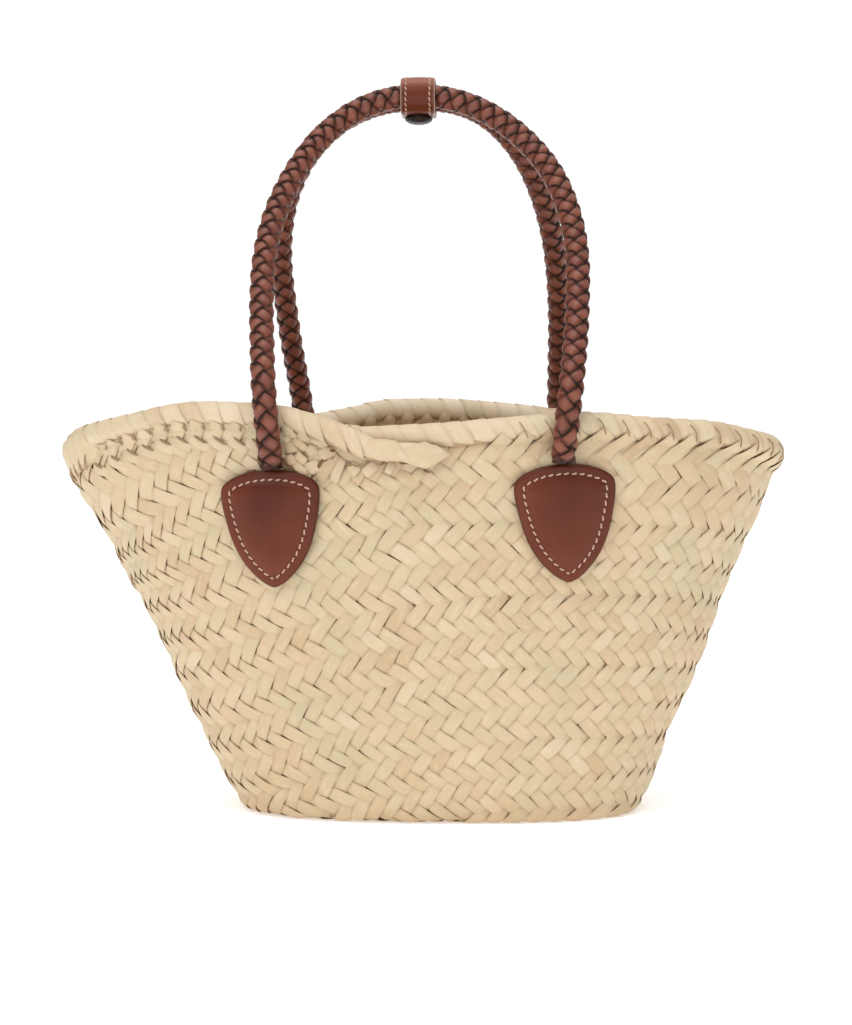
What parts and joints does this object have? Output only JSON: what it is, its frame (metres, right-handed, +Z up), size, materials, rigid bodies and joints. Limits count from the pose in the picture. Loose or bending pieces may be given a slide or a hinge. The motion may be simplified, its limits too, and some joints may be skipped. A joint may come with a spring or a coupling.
{
  "type": "woven straw tote bag",
  "caption": "Small flared basket tote of braided palm leaf with a rolled rim, round braided leather handles held by a snap band, and leather shields at their ends.",
  "frame": {"origin": "middle of the flat base, on the surface that the bag stands on", "axes": "+X to the right of someone who faces the front, +Y from the front towards the back, +Z up"},
  "size_m": [0.3778, 0.1968, 0.384],
  "materials": {
    "straw": "dry braided palm leaf",
    "braided_leather": "waxed, braided in strands",
    "smooth_leather": "smooth, satin, with cream stitching",
    "dark_metal": "dark, burnished"
  },
  "bodies": {
    "root": {"basket_body": "straw", "rim_roll": "straw", "handle_front": "braided_leather", "handle_rear": "braided_leather", "patch_front_left": "smooth_leather", "patch_front_right": "smooth_leather", "patch_rear_left": "smooth_leather", "patch_rear_right": "smooth_leather", "keeper_band": "smooth_leather", "snap_cap": "dark_metal"}
  },
  "joints": []
}
